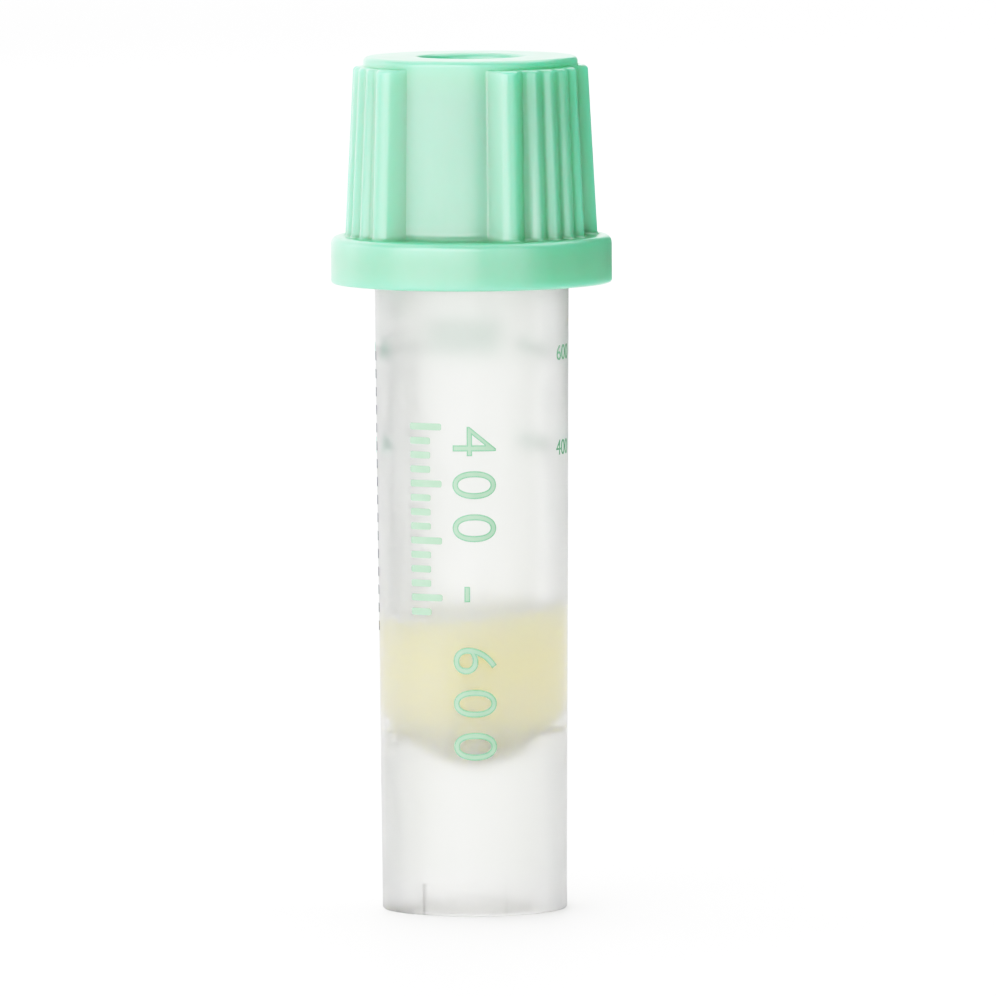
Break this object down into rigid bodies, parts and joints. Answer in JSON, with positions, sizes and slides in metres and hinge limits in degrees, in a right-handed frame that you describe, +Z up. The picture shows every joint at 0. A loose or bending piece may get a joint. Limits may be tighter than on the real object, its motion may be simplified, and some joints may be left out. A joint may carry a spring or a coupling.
{
  "type": "blood collection tube",
  "caption": "Small capillary blood collection tube: frosted reservoir with separator gel on an open skirt, under a ribbed, flanged lift-off closure.",
  "frame": {"origin": "centre of the skirt's rim, on the surface that the tube stands on", "axes": "+Z up the tube's axis to the closure; -Y to the front, where the main print and a keyway are; +X to the right of it"},
  "size_m": [0.0148, 0.0148, 0.045],
  "materials": {
    "tube": "frosted translucent polypropylene with pale green print",
    "gel": "pale yellow set gel, slightly cloudy",
    "closure": "smooth mint green moulding",
    "print": "pale green screen-printed ink",
    "print_dark": "dark blue-grey screen-printed ink"
  },
  "bodies": {
    "tube_body": {"tube": "tube", "separator_gel": "gel"},
    "closure_body": {"closure": "closure"}
  },
  "joints": [
    {"name": "closure_lift", "type": "slide", "parent": "tube_body", "child": "closure_body", "axis": [0, 0, 1], "range_m": [0, 0.018]}
  ]
}
